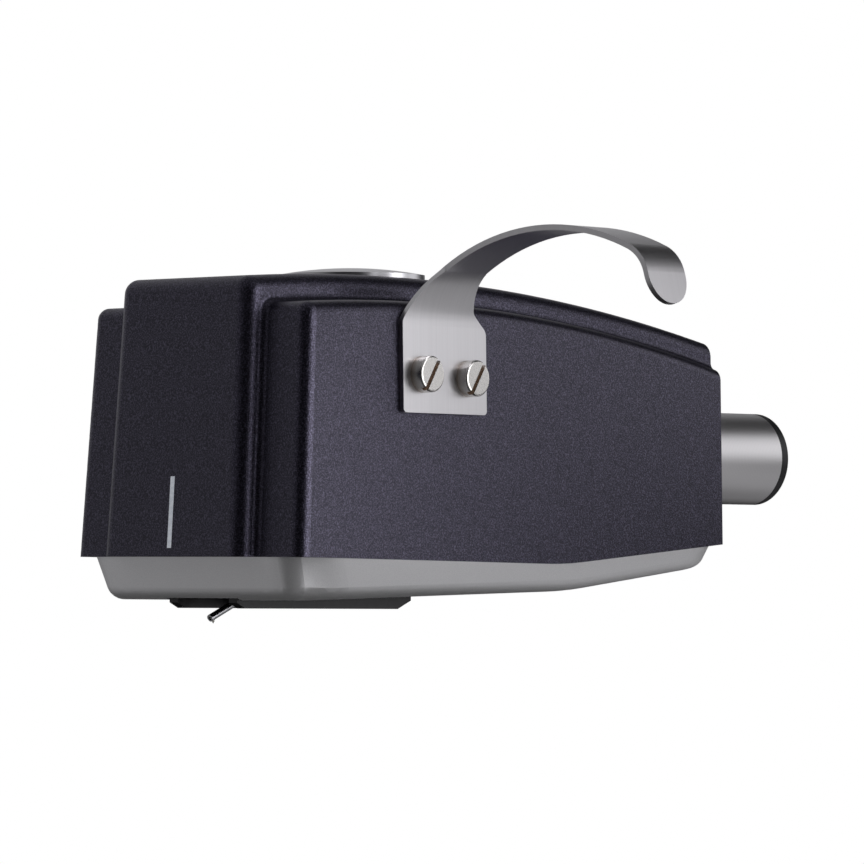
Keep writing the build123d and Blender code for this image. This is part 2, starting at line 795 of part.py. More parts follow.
# Armature: cross-shaped former whose hub takes the cantilever in front and the wire behind
with BuildPart() as armature:
    with BuildSketch(motor.offset(-coil_w / 2)):
        Circle(hub_r)
    extrude(amount=coil_w)
    with BuildSketch(motor.offset(-arm_w / 2)):
        for turn in (45, 135):
            Rectangle(2 * arm_half, arm_w, rotation=turn)
    extrude(amount=arm_w)
    with BuildSketch(motor.offset(-hub_wall)):
        Circle(cantilever_r)
    extrude(amount=-coil_w, mode=Mode.SUBTRACT)
    with BuildSketch(motor.offset(-coil_w)):
        Circle(wire_r + wire_slip)
    extrude(amount=2 * coil_w, mode=Mode.SUBTRACT)

# Coils: one winding on each arm of the former, opposite arms for each channel
coil_mid = hub_r + coil_gap + coil_len / 2
with BuildPart() as coils_left:
    with BuildSketch(motor.offset(-coil_w / 2)):
        with PolarLocations(coil_mid, 2, start_angle=45):
            Rectangle(coil_len, coil_w)
    extrude(amount=coil_w)
    with BuildSketch(motor.offset(-arm_w / 2)):
        Rectangle(2 * arm_half, arm_w, rotation=45)
    extrude(amount=arm_w, mode=Mode.SUBTRACT)

with BuildPart() as coils_right:
    with BuildSketch(motor.offset(-coil_w / 2)):
        with PolarLocations(coil_mid, 2, start_angle=135):
            Rectangle(coil_len, coil_w)
    extrude(amount=coil_w)
    with BuildSketch(motor.offset(-arm_w / 2)):
        Rectangle(2 * arm_half, arm_w, rotation=135)
    extrude(amount=arm_w, mode=Mode.SUBTRACT)

# Cantilever: thin tube from the armature down to the stylus, its end flattened at a slant
cantilever_len = (pivot_x - stylus_x) / cos(radians(slant)) + cantilever_past
with BuildPart() as cantilever:
    with BuildSketch(motor.offset(-hub_wall)):
        Circle(cantilever_r)
        Circle(cantilever_bore_r, mode=Mode.SUBTRACT)
    extrude(amount=hub_wall - cantilever_len)
    with BuildSketch(Plane.XY.offset(tip_z)):
        with Locations((stylus_x, 0)):
            Circle(stylus_r)
    extrude(amount=stylus_drop, mode=Mode.SUBTRACT)

# Stylus: round diamond shank set in the cantilever, ground to a cone
with BuildPart() as stylus:
    with BuildSketch(Plane.XZ):
        with BuildLine():
            Polyline(
                (stylus_x, tip_z),
                (stylus_x + stylus_r, tip_z + stylus_cone),
                (stylus_x + stylus_r, tip_z + stylus_drop),
                (stylus_x, tip_z + stylus_drop),
                close=True,
            )
        make_face()
    revolve(axis=Axis((stylus_x, 0, 0), (0, 0, 1)))

# Terminal pins: four at the back of the generator
with BuildPart() as terminal_pins:
    with BuildSketch(Plane.YZ.offset(gen_rear_x - terminal_in)):
        with Locations(*terminal_spots):
            Circle(terminal_r)
    extrude(amount=terminal_in + terminal_out)

# Leads: each runs in one gentle double bend from a terminal pin to a tail of the plug's contacts
lead_start_x = gen_rear_x + terminal_out
lead_end_x = -stem_len - tail_len
lead_routes = {
    "red": (terminal_spots[3], contact_spots[0]),
    "green": (terminal_spots[2], contact_spots[3]),
    "white": (terminal_spots[0], contact_spots[1]),
    "blue": (terminal_spots[1], contact_spots[2]),
}
leads = {}
for colour, (start, end) in lead_routes.items():
    quarter = (lead_end_x - lead_start_x) / 4
    bend_start = Vector(lead_start_x + quarter, *start)
    bend_end = Vector(lead_end_x - quarter, *end)
    turn = (bend_end - bend_start).get_angle(Vector(1, 0, 0))
    lead_bend_r = bend_share * quarter / tan(radians(turn / 2))
    with BuildPart() as lead:
        with BuildLine():
            FilletPolyline(
                (lead_start_x, *start), bend_start, bend_end, (lead_end_x, *end), radius=lead_bend_r
            )
        with BuildSketch(Plane.YZ.offset(lead_start_x)):
            with Locations(start):
                Circle(lead_r)
        sweep()
    leads[colour] = lead

# Sleeves: insulating tubes over the soldered ends of the leads
with BuildPart() as wire_sleeves:
    with BuildSketch(Plane.YZ.offset(lead_start_x - sleeve_len)):
        with Locations(*terminal_spots):
            Circle(sleeve_r)
            Circle(terminal_r + seat_gap, mode=Mode.SUBTRACT)
    extrude(amount=sleeve_len)
    with BuildSketch(Plane.YZ.offset(lead_end_x)):
        with Locations(*contact_spots):
            Circle(sleeve_r)
            Circle(contact_r + seat_gap, mode=Mode.SUBTRACT)
    extrude(amount=tail_len)

pieces = {
    "shell": shell,
    "bottom_cover": bottom_cover,
    "index_line": index_line,
    "badge": badge,
    "finger_lift": finger_lift,
    "finger_lift_screws": finger_lift_screws,
    "plug_tube": plug_tube,
    "plug_insulator": plug_insulator,
    "contact_pins": contact_pins,
    "locking_pin": locking_pin,
    "generator_body": generator_body,
    "generator_screws": generator_screws,
    "front_pole": front_pole,
    "magnet": magnet,
    "rear_yoke": rear_yoke,
    "pole_pin": pole_pin,
    "damper": damper,
    "tie_wire": tie_wire,
    "armature": armature,
    "coils_left": coils_left,
    "coils_right": coils_right,
    "cantilever": cantilever,
    "stylus": stylus,
    "terminal_pins": terminal_pins,
    "lead_wire_red": leads["red"],
    "lead_wire_green": leads["green"],
    "lead_wire_white": leads["white"],
    "lead_wire_blue": leads["blue"],
    "wire_sleeves": wire_sleeves,
    "cover_screw": cover_screw,
}
for name, piece in pieces.items():
    piece.part.label = name
    export_step(piece.part, f"parts/{name}.step")
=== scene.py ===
from math import cos, pi, radians, sin

import bpy
from mathutils import Matrix, Vector


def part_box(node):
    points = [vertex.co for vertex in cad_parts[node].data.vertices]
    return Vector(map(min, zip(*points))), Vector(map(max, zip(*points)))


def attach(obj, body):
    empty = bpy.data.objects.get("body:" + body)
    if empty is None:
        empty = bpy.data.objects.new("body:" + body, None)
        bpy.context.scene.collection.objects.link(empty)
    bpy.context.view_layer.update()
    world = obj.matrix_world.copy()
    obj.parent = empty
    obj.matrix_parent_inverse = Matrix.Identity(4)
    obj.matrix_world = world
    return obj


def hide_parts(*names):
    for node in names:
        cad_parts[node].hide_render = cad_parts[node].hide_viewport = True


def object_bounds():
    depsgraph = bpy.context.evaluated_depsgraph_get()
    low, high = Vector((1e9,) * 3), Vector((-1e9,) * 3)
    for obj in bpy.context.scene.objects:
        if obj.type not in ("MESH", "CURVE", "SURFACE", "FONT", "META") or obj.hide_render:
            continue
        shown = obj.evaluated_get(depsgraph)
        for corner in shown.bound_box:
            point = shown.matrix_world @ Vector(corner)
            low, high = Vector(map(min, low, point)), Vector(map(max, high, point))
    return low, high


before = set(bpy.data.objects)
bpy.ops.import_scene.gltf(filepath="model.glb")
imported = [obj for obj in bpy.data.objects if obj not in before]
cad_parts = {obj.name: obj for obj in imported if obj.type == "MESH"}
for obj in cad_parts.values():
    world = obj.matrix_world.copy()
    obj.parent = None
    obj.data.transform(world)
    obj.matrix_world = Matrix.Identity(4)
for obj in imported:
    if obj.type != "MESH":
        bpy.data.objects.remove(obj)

cad_low, cad_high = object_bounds()


# Shell: the headshell's tapered hood, die-cast in aluminium alloy and drilled for its screws.
# It is sprayed a blue-black lacquer with very fine metal flake and a satin top coat, so it is
# nearly black where it mirrors the dark of the room and slate grey where it mirrors the lamp.
MM = 0.001


def linear(hex_colour):
    """The linear colour, with alpha, of an sRGB hex value."""
    parts = [int(hex_colour[i : i + 2], 16) / 255 for i in (1, 3, 5)]
    return [c / 12.92 if c <= 0.04045 else ((c + 0.055) / 1.055) ** 2.4 for c in parts] + [1.0]


def feed(node, inputs):
    """Sets a node's inputs, or links them to a socket or to another node's first output."""
    for name, value in inputs.items():
        if isinstance(value, bpy.types.Node):
            value = value.outputs[0]
        if isinstance(value, bpy.types.NodeSocket):
            node.id_data.links.new(value, node.inputs[name])
        else:
            node.inputs[name].default_value = value


def add(tree, kind, inputs=None, stops=None, **settings):
    """Adds a node with its settings, its inputs and, on a colour ramp, its two stops."""
    node = tree.nodes.new(kind)
    for name, value in settings.items():
        setattr(node, name, value)
    for index, (position, colour) in enumerate((stops or {}).items()):
        node.color_ramp.elements[index].position = position
        node.color_ramp.elements[index].color = linear(colour)
    feed(node, inputs or {})
    return node


def finish_of(name, inputs):
    """A new material: its tree, its surface shader and the Object coordinates its patterns read."""
    material = bpy.data.materials.new(name)
    material.use_nodes = True
    tree = material.node_tree
    surface = tree.nodes["Principled BSDF"]
    feed(surface, inputs)
    return material, tree, surface, add(tree, "ShaderNodeTexCoord").outputs["Object"]


def dress(material, *names):
    """Gives CAD nodes a material."""
    for name in names:
        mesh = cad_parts[name].data
        mesh.materials.clear()
        mesh.materials.append(material)


flake_mm = 0.12
cloud_mm = 9.0
lacquer, tree, surface, place = finish_of(
    "satin_flake_lacquer", {"IOR": 1.8, "Specular Tint": linear("#e2dcff")}
)
flake = add(tree, "ShaderNodeTexNoise", {"Vector": place, "Scale": 1 / (flake_mm * MM), "Detail": 2.0})
cloud = add(tree, "ShaderNodeTexNoise", {"Vector": place, "Scale": 1 / (cloud_mm * MM), "Detail": 2.0})
tone = add(tree, "ShaderNodeValToRGB", {"Fac": flake.outputs["Fac"]}, {0.40: "#040407", 0.75: "#1a1824"})
gloss = add(tree, "ShaderNodeMapRange", {"Value": cloud.outputs["Fac"], "To Min": 0.31, "To Max": 0.37})
glint = add(
    tree,
    "ShaderNodeMapRange",
    {"Value": flake.outputs["Fac"], "From Min": 0.45, "From Max": 0.72, "To Min": 0.30, "To Max": 1.0},
)
bump = add(tree, "ShaderNodeBump", {"Height": flake.outputs["Fac"], "Strength": 0.6, "Distance": 0.04 * MM})
feed(
    surface,
    {
        "Base Color": tone.outputs["Color"],
        "Roughness": gloss.outputs["Result"],
        "Specular IOR Level": glint.outputs["Result"],
        "Normal": bump.outputs["Normal"],
    },
)
dress(lacquer, "shell")


# Index line: white enamel run into a cut groove at the foot of the front panel.
# It is level with the panel, slightly milky, with faint brush unevenness.
streak_mm = 0.3
enamel, tree, surface, place = finish_of("white_line_enamel", {"Roughness": 0.4})
streak = add(tree, "ShaderNodeTexNoise", {"Vector": place, "Scale": 1 / (streak_mm * MM), "Detail": 3.0})
tone = add(tree, "ShaderNodeValToRGB", {"Fac": streak.outputs["Fac"]}, {0.3: "#ccd2de", 0.7: "#e6eaf3"})
feed(surface, {"Base Color": tone.outputs["Color"]})
dress(enamel, "index_line")


# Badge: a plain domed disc of aluminium, pressed into the top of the shell by a stud.
# Its face is turned, which leaves fine rings about its middle.
ring_mm = 0.12
wave_unit = 0.314  # a wave texture of scale 1 repeats once in this length
badge_low, badge_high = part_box("badge")
badge_middle = (badge_low + badge_high) / 2
turned, tree, surface, place = finish_of("turned_aluminium", {"Metallic": 1.0, "Roughness": 0.3})
centred = add(
    tree, "ShaderNodeMapping", {"Vector": place, "Location": (-badge_middle.x, -badge_middle.y, 0)}
)
rings = add(
    tree,
    "ShaderNodeTexWave",
    {"Vector": centred.outputs["Vector"], "Scale": wave_unit / (ring_mm * MM), "Distortion": 0.4},
    wave_type="RINGS",
    rings_direction="Z",
)
tone = add(tree, "ShaderNodeValToRGB", {"Fac": rings.outputs["Fac"]}, {0.0: "#dcdcde", 1.0: "#f0f0f2"})
bump = add(tree, "ShaderNodeBump", {"Height": rings.outputs["Fac"], "Strength": 0.15, "Distance": 0.01 * MM})
feed(surface, {"Base Color": tone.outputs["Color"], "Normal": bump.outputs["Normal"]})
dress(turned, "badge")


# Plug: a brass tube, turned and nickel plated, pressed into the shell's socket, with a steel
# locking pin let into its top. Turning leaves faint rings along it under the satin plating.
turning_mm = 0.18
plating, tree, surface, place = finish_of("satin_nickel_plate", {"Metallic": 1.0, "Roughness": 0.36})
rings = add(
    tree,
    "ShaderNodeTexWave",
    {"Vector": place, "Scale": wave_unit / (turning_mm * MM), "Distortion": 1.5, "Detail": 2.0},
    wave_type="BANDS",
    bands_direction="X",
)
tone = add(tree, "ShaderNodeValToRGB", {"Fac": rings.outputs["Fac"]}, {0.0: "#e2e1e2", 1.0: "#e9e8e9"})
bump = add(tree, "ShaderNodeBump", {"Height": rings.outputs["Fac"], "Strength": 0.04, "Distance": 0.01 * MM})
feed(surface, {"Base Color": tone.outputs["Color"], "Normal": bump.outputs["Normal"]})
dress(plating, "plug_tube", "locking_pin")


# Plug insulator and generator body: the plug's core, whose rim caps the end of the tube, and the
# carrier screwed up inside the shell. Both are moulded in phenolic resin, dull black with a slight mottle.
mottle_mm = 0.5
phenolic, tree, surface, place = finish_of("black_phenolic", {"Roughness": 0.45})
mottle = add(tree, "ShaderNodeTexNoise", {"Vector": place, "Scale": 1 / (mottle_mm * MM), "Detail": 4.0})
tone = add(tree, "ShaderNodeValToRGB", {"Fac": mottle.outputs["Fac"]}, {0.35: "#0d0d0f", 0.7: "#1a1a1d"})
bump = add(tree, "ShaderNodeBump", {"Height": mottle.outputs["Fac"], "Strength": 0.1, "Distance": 0.02 * MM})
feed(surface, {"Base Color": tone.outputs["Color"], "Normal": bump.outputs["Normal"]})
dress(phenolic, "plug_insulator", "generator_body")


# Contact pins of the plug and terminal pins of the generator: turned brass, pressed into the
# phenolic and gold plated. The plating is bright, with slight warm clouding.
plate_mm = 0.6
gold, tree, surface, place = finish_of("gold_plate", {"Metallic": 1.0, "Roughness": 0.24})
cloud = add(tree, "ShaderNodeTexNoise", {"Vector": place, "Scale": 1 / (plate_mm * MM), "Detail": 2.0})
tone = add(tree, "ShaderNodeValToRGB", {"Fac": cloud.outputs["Fac"]}, {0.35: "#d8a94e", 0.65: "#e6c273"})
feed(surface, {"Base Color": tone.outputs["Color"]})
dress(gold, "contact_pins", "terminal_pins")


# Magnet circuit: pole plates and pole pin of soft iron, ground flat and bonded to the magnet in
# the carrier's pocket. Grinding leaves fine parallel scratches on the dark grey metal.
scratch_mm = 0.08
scratches_per_m = 60.0  # along their length
iron, tree, surface, place = finish_of("ground_soft_iron", {"Metallic": 1.0, "Roughness": 0.38})
stretched = add(
    tree,
    "ShaderNodeMapping",
    {"Vector": place, "Scale": (scratches_per_m, 1 / (scratch_mm * MM), scratches_per_m)},
)
scratch = add(tree, "ShaderNodeTexNoise", {"Vector": stretched.outputs["Vector"], "Scale": 1.0, "Detail": 2.0})
tone = add(tree, "ShaderNodeValToRGB", {"Fac": scratch.outputs["Fac"]}, {0.3: "#6d6c6c", 0.7: "#8b8a8a"})
bump = add(tree, "ShaderNodeBump", {"Height": scratch.outputs["Fac"], "Strength": 0.1, "Distance": 0.01 * MM})
feed(surface, {"Base Color": tone.outputs["Color"], "Normal": bump.outputs["Normal"]})
dress(iron, "front_pole", "rear_yoke", "pole_pin")


# Magnet: a cast block of aluminium-nickel-cobalt alloy between the poles.
# Its cast skin is darker and coarser than the ground iron.
cast_mm = 0.35
alloy, tree, surface, place = finish_of("cast_magnet_alloy", {"Metallic": 1.0, "Roughness": 0.55})
cast = add(tree, "ShaderNodeTexNoise", {"Vector": place, "Scale": 1 / (cast_mm * MM), "Detail": 4.0})
tone = add(tree, "ShaderNodeValToRGB", {"Fac": cast.outputs["Fac"]}, {0.3: "#555454", 0.7: "#777573"})
bump = add(tree, "ShaderNodeBump", {"Height": cast.outputs["Fac"], "Strength": 0.35, "Distance": 0.03 * MM})
feed(surface, {"Base Color": tone.outputs["Color"], "Normal": bump.outputs["Normal"]})
dress(alloy, "magnet")


# Damper: a punched ring of butyl rubber pinched between the armature and the pole pin.
# Rubber is matt black with a fine chalky bloom.
bloom_mm = 0.15
rubber, tree, surface, place = finish_of("butyl_rubber", {"Roughness": 0.8})
bloom = add(tree, "ShaderNodeTexNoise", {"Vector": place, "Scale": 1 / (bloom_mm * MM), "Detail": 3.0})
tone = add(tree, "ShaderNodeValToRGB", {"Fac": bloom.outputs["Fac"]}, {0.4: "#141414", 0.8: "#2a2a2a"})
feed(surface, {"Base Color": tone.outputs["Color"]})
dress(rubber, "damper")


# Tie wire: drawn spring steel, clamped in the pole pin and glued into the armature's hub.
# It is bright, with a fine unevenness from drawing that is shown coarser here than it is.
drawn_mm = 0.05
spring, tree, surface, place = finish_of("drawn_spring_steel", {"Metallic": 1.0, "Roughness": 0.22})
drawn = add(tree, "ShaderNodeTexNoise", {"Vector": place, "Scale": 1 / (drawn_mm * MM), "Detail": 2.0})
tone = add(tree, "ShaderNodeValToRGB", {"Fac": drawn.outputs["Fac"]}, {0.3: "#a9a9ab", 0.7: "#c4c4c6"})
feed(surface, {"Base Color": tone.outputs["Color"]})
dress(spring, "tie_wire")


# Armature: a cross moulded in filled polyamide that carries the coils on its four arms.
# The filler shows as pale flecks in the cream resin.
fleck_mm = 0.12
polyamide, tree, surface, place = finish_of("filled_polyamide", {"Roughness": 0.5})
fleck = add(tree, "ShaderNodeTexNoise", {"Vector": place, "Scale": 1 / (fleck_mm * MM), "Detail": 3.0})
tone = add(tree, "ShaderNodeValToRGB", {"Fac": fleck.outputs["Fac"]}, {0.35: "#b7a888", 0.7: "#d8ccb2"})
feed(surface, {"Base Color": tone.outputs["Color"]})
dress(polyamide, "armature")


# Coils: enamelled copper wire wound in layers round each arm of the armature, two opposite arms
# for each channel. The real wire is hair-thin, so it is drawn a few times thicker with fewer turns.
slant = radians(25)  # the cantilever's slope, across which the cross stands
arm_side, wire_width, layers, turns = 0.5 * MM, 0.08 * MM, 3, 6
coil_start, coil_length = 0.65 * MM, 0.5 * MM
squareness = 6.0  # 2 winds round, and higher powers wind closer to a square
spiral_steps, wire_sides = 32, 8
drop_mm = 0.2

copper, tree, surface, place = finish_of(
    "enamelled_copper", {"Metallic": 0.9, "Roughness": 0.25, "Coat Weight": 0.6}
)
drops = add(tree, "ShaderNodeTexNoise", {"Vector": place, "Scale": 1 / (drop_mm * MM), "Detail": 2.0})
tone = add(tree, "ShaderNodeValToRGB", {"Fac": drops.outputs["Fac"]}, {0.3: "#a4532c", 0.7: "#c97a48"})
feed(surface, {"Base Color": tone.outputs["Color"]})

winding = bpy.data.node_groups.new("coil_winding", "GeometryNodeTree")
sizes = {}
for name, kind, value in (
    ("Arm Side", "NodeSocketFloat", arm_side),
    ("Wire Width", "NodeSocketFloat", wire_width),
    ("Layers", "NodeSocketInt", layers),
    ("Turns", "NodeSocketFloat", turns),
    ("Start", "NodeSocketFloat", coil_start),
    ("Length", "NodeSocketFloat", coil_length),
    ("Arm Turn", "NodeSocketFloat", 0.0),
):
    socket = winding.interface.new_socket(name, in_out="INPUT", socket_type=kind)
    socket.default_value = value
    sizes[name] = socket.identifier
winding.interface.new_socket("Geometry", in_out="OUTPUT", socket_type="NodeSocketGeometry")
given = add(winding, "NodeGroupInput").outputs

# One round spiral, copied outwards once for each layer
first_width = add(winding, "ShaderNodeMath", {0: given["Arm Side"], 1: given["Wire Width"]}, operation="ADD")
first_r = add(winding, "ShaderNodeMath", {0: first_width, 1: 0.5}, operation="MULTIPLY")
height = add(winding, "ShaderNodeMath", {0: given["Length"], 1: given["Wire Width"]}, operation="SUBTRACT")
spiral = add(
    winding,
    "GeometryNodeCurveSpiral",
    {
        "Resolution": spiral_steps,
        "Rotations": given["Turns"],
        "Start Radius": first_r,
        "End Radius": first_r,
        "Height": height,
    },
)
layer_points = add(winding, "GeometryNodePoints", {"Count": given["Layers"]})
index = add(winding, "GeometryNodeInputIndex")
step = add(winding, "ShaderNodeMath", {0: index, 1: given["Wire Width"]}, operation="MULTIPLY")
growth = add(winding, "ShaderNodeMath", {0: step, 1: first_r}, operation="DIVIDE")
spread = add(winding, "ShaderNodeMath", {0: 1.0, 1: growth}, operation="ADD")
layer_scale = add(winding, "ShaderNodeCombineXYZ", {"X": spread, "Y": spread, "Z": 1.0})
copies = add(
    winding,
    "GeometryNodeInstanceOnPoints",
    {"Points": layer_points, "Instance": spiral, "Scale": layer_scale},
)
wound = add(winding, "GeometryNodeRealizeInstances", {"Geometry": copies})

# The turns pull tight to the square arm, so each round is pushed out towards a square
spot = add(winding, "ShaderNodeSeparateXYZ", {"Vector": add(winding, "GeometryNodeInputPosition")}).outputs
x_squared = add(winding, "ShaderNodeMath", {0: spot["X"], 1: 2.0}, operation="POWER")
y_squared = add(winding, "ShaderNodeMath", {0: spot["Y"], 1: 2.0}, operation="POWER")
reach_squared = add(winding, "ShaderNodeMath", {0: x_squared, 1: y_squared}, operation="ADD")
reach = add(winding, "ShaderNodeMath", {0: reach_squared}, operation="SQRT")
shares = []
for side in ("X", "Y"):
    size = add(winding, "ShaderNodeMath", {0: spot[side]}, operation="ABSOLUTE")
    share = add(winding, "ShaderNodeMath", {0: size, 1: reach}, operation="DIVIDE")
    shares.append(add(winding, "ShaderNodeMath", {0: share, 1: squareness}, operation="POWER"))
shared = add(winding, "ShaderNodeMath", {0: shares[0], 1: shares[1]}, operation="ADD")
push = add(winding, "ShaderNodeMath", {0: shared, 1: -1 / squareness}, operation="POWER")
half_wire = add(winding, "ShaderNodeMath", {0: given["Wire Width"], 1: 0.5}, operation="MULTIPLY")
foot = add(winding, "ShaderNodeMath", {0: given["Start"], 1: half_wire}, operation="ADD")
pushed = add(
    winding,
    "ShaderNodeCombineXYZ",
    {
        "X": add(winding, "ShaderNodeMath", {0: spot["X"], 1: push}, operation="MULTIPLY"),
        "Y": add(winding, "ShaderNodeMath", {0: spot["Y"], 1: push}, operation="MULTIPLY"),
        "Z": add(winding, "ShaderNodeMath", {0: spot["Z"], 1: foot}, operation="ADD"),
    },
)
squared = add(winding, "GeometryNodeSetPosition", {"Geometry": wound, "Position": pushed})
section = add(
    winding, "GeometryNodeCurvePrimitiveCircle", {"Resolution": wire_sides, "Radius": half_wire}
)
wire = add(
    winding, "GeometryNodeCurveToMesh", {"Curve": squared, "Profile Curve": section, "Fill Caps": True}
)
smooth = add(winding, "GeometryNodeSetShadeSmooth", {"Geometry": wire})

# Two opposite arms of the cross
arm_points = add(winding, "GeometryNodePoints", {"Count": 2})
half_turns = add(winding, "ShaderNodeMath", {0: index, 1: pi}, operation="MULTIPLY")
around = add(winding, "ShaderNodeMath", {0: given["Arm Turn"], 1: half_turns}, operation="ADD")
outwards = add(winding, "ShaderNodeCombineXYZ", {"Y": pi / 2, "Z": around})
pair = add(
    winding,
    "GeometryNodeInstanceOnPoints",
    {"Points": arm_points, "Instance": smooth, "Rotation": outwards},
)
real = add(winding, "GeometryNodeRealizeInstances", {"Geometry": pair})
painted = add(winding, "GeometryNodeSetMaterial", {"Geometry": real, "Material": copper})
add(winding, "NodeGroupOutput", {"Geometry": painted})

armature_low, armature_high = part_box("armature")
axis = Vector((cos(slant), 0, sin(slant)))
across = Vector((0, 1, 0))
pivot_frame = Matrix((across, axis.cross(across), axis)).transposed().to_4x4()
pivot_frame.translation = (armature_low + armature_high) / 2
for node, arm_deg in (("coils_left", 45), ("coils_right", 135)):
    maker = bpy.data.objects.new(node + "_maker", bpy.data.meshes.new(node + "_maker"))
    bpy.context.scene.collection.objects.link(maker)
    modifier = maker.modifiers.new("winding", "NODES")
    modifier.node_group = winding
    modifier[sizes["Arm Turn"]] = radians(arm_deg)
    evaluated = maker.evaluated_get(bpy.context.evaluated_depsgraph_get())
    mesh = bpy.data.meshes.new_from_object(evaluated)
    bpy.data.objects.remove(maker)
    mesh.transform(pivot_frame)
    coil = bpy.data.objects.new(node + "_wire", mesh)
    bpy.context.scene.collection.objects.link(coil)
    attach(coil, "stylus_system")
    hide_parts(node)


# Cantilever: a thin tube of aluminium alloy, glued into the armature's hub.
# It is drawn bright, with a slight haze of oxide.
haze_mm = 0.2
tube, tree, surface, place = finish_of("drawn_aluminium", {"Metallic": 1.0, "Roughness": 0.28})
haze = add(tree, "ShaderNodeTexNoise", {"Vector": place, "Scale": 1 / (haze_mm * MM), "Detail": 2.0})
tone = add(tree, "ShaderNodeValToRGB", {"Fac": haze.outputs["Fac"]}, {0.3: "#bcbdc0", 0.7: "#d7d8da"})
feed(surface, {"Base Color": tone.outputs["Color"]})
dress(tube, "cantilever")


# Stylus: a ground diamond shank, glued through the flattened end of the cantilever.
# It is clear with a faint straw tint and refracts strongly.
diamond_mm = 0.1
diamond, tree, surface, place = finish_of(
    "ground_diamond", {"Roughness": 0.06, "IOR": 2.417, "Transmission Weight": 0.9}
)
ground = add(tree, "ShaderNodeTexNoise", {"Vector": place, "Scale": 1 / (diamond_mm * MM), "Detail": 2.0})
tone = add(tree, "ShaderNodeValToRGB", {"Fac": ground.outputs["Fac"]}, {0.3: "#e9e4d2", 0.7: "#f8f6ec"})
feed(surface, {"Base Color": tone.outputs["Color"]})
dress(diamond, "stylus")


# Leads: four stranded wires in soft vinyl, soldered from the generator's terminals to the plug's
# pins and coloured for the channels. Vinyl is waxy and a little uneven in colour.
vinyl_mm = 0.8
for node, dark, light in (
    ("lead_wire_red", "#8e1a1c", "#ac2626"),
    ("lead_wire_green", "#17613a", "#21784a"),
    ("lead_wire_white", "#c9c7c0", "#dedcd6"),
    ("lead_wire_blue", "#1c3f83", "#28539c"),
):
    vinyl, tree, surface, place = finish_of(node.replace("lead_wire", "vinyl"), {"Roughness": 0.42})
    wax = add(tree, "ShaderNodeTexNoise", {"Vector": place, "Scale": 1 / (vinyl_mm * MM), "Detail": 2.0})
    tone = add(tree, "ShaderNodeValToRGB", {"Fac": wax.outputs["Fac"]}, {0.3: dark, 0.7: light})
    feed(surface, {"Base Color": tone.outputs["Color"]})
    dress(vinyl, node)


# Sleeves: short shrunk tubes of polyolefin over the soldered ends.
# They are dull black with faint rings where they have shrunk.
shrink_mm = 0.5
sleeve, tree, surface, place = finish_of("shrunk_polyolefin", {"Roughness": 0.55})
rings = add(
    tree,
    "ShaderNodeTexWave",
    {"Vector": place, "Scale": wave_unit / (shrink_mm * MM), "Distortion": 2.0},
    wave_type="BANDS",
    bands_direction="X",
)
tone = add(tree, "ShaderNodeValToRGB", {"Fac": rings.outputs["Fac"]}, {0.0: "#121213", 1.0: "#202022"})
bump = add(tree, "ShaderNodeBump", {"Height": rings.outputs["Fac"], "Strength": 0.2, "Distance": 0.02 * MM})
feed(surface, {"Base Color": tone.outputs["Color"], "Normal": bump.outputs["Normal"]})
dress(sleeve, "wire_sleeves")


# Bottom cover: a shallow tray, die-cast and screwed up under the shell around the generator.
# It is painted in aluminium lacquer, whose leafing flake gives a soft satin grey.
leaf_mm = 0.08
silver, tree, surface, place = finish_of("silver_grey_lacquer", {"Metallic": 0.85, "Roughness": 0.42})
leaf = add(tree, "ShaderNodeTexNoise", {"Vector": place, "Scale": 1 / (leaf_mm * MM), "Detail": 2.0})
tone = add(tree, "ShaderNodeValToRGB", {"Fac": leaf.outputs["Fac"]}, {0.35: "#e6e6e8", 0.7: "#f0f0f1"})
bump = add(tree, "ShaderNodeBump", {"Height": leaf.outputs["Fac"], "Strength": 0.05, "Distance": 0.02 * MM})
feed(surface, {"Base Color": tone.outputs["Color"], "Normal": bump.outputs["Normal"]})
dress(silver, "bottom_cover")


# Finger lift: a stamped strip of stainless steel, bent to an arch and held on the shell's side
# by two screws. It is brushed along its length, which stretches reflections across it.
brush_mm = 0.06
brush_run_mm = 25.0
brushed, tree, surface, place = finish_of("brushed_stainless", {"Metallic": 1.0, "Roughness": 0.3})
along_run = 1 / (brush_run_mm * MM)
lengthwise = add(
    tree, "ShaderNodeMapping", {"Vector": place, "Scale": (1 / (brush_mm * MM), along_run, along_run)}
)
lines = add(tree, "ShaderNodeTexNoise", {"Vector": lengthwise.outputs["Vector"], "Scale": 1.0, "Detail": 3.0})
tone = add(tree, "ShaderNodeValToRGB", {"Fac": lines.outputs["Fac"]}, {0.3: "#dddcde", 0.7: "#e3e2e4"})
bump = add(tree, "ShaderNodeBump", {"Height": lines.outputs["Fac"], "Strength": 0.015, "Distance": 0.01 * MM})
feed(surface, {"Base Color": tone.outputs["Color"], "Normal": bump.outputs["Normal"]})
dress(brushed, "finger_lift")


# Screws: slotted machine screws of brass with bright nickel plating, two for the finger lift, two
# for the generator and one for the cover. Tumbling scuffs them finely. Their colour is painted darker
# where ambient occlusion finds them closed in: painted shade in the slots and on the head sides by
# the plate, tinted brown for grime in the slots.
scuff_mm = 0.25
painted_shade_reach_mm = 0.9
bright, tree, surface, place = finish_of("bright_nickel_screws", {"Metallic": 1.0})
scuff = add(tree, "ShaderNodeTexNoise", {"Vector": place, "Scale": 1 / (scuff_mm * MM), "Detail": 4.0})
gloss = add(tree, "ShaderNodeMapRange", {"Value": scuff.outputs["Fac"], "To Min": 0.20, "To Max": 0.26})
# Painted shade: ambient occlusion darkens the colour to a brownish grey in the slots and on the head sides.
painted_shade_occlusion = add(tree, "ShaderNodeAmbientOcclusion", {"Distance": painted_shade_reach_mm * MM}, samples=8)
tone = add(tree, "ShaderNodeValToRGB", {"Fac": painted_shade_occlusion.outputs["AO"]}, {0.55: "#b9aca1", 0.92: "#f6f4f0"})
feed(surface, {"Base Color": tone.outputs["Color"], "Roughness": gloss.outputs["Result"]})
dress(bright, "finger_lift_screws", "generator_screws", "cover_screw")


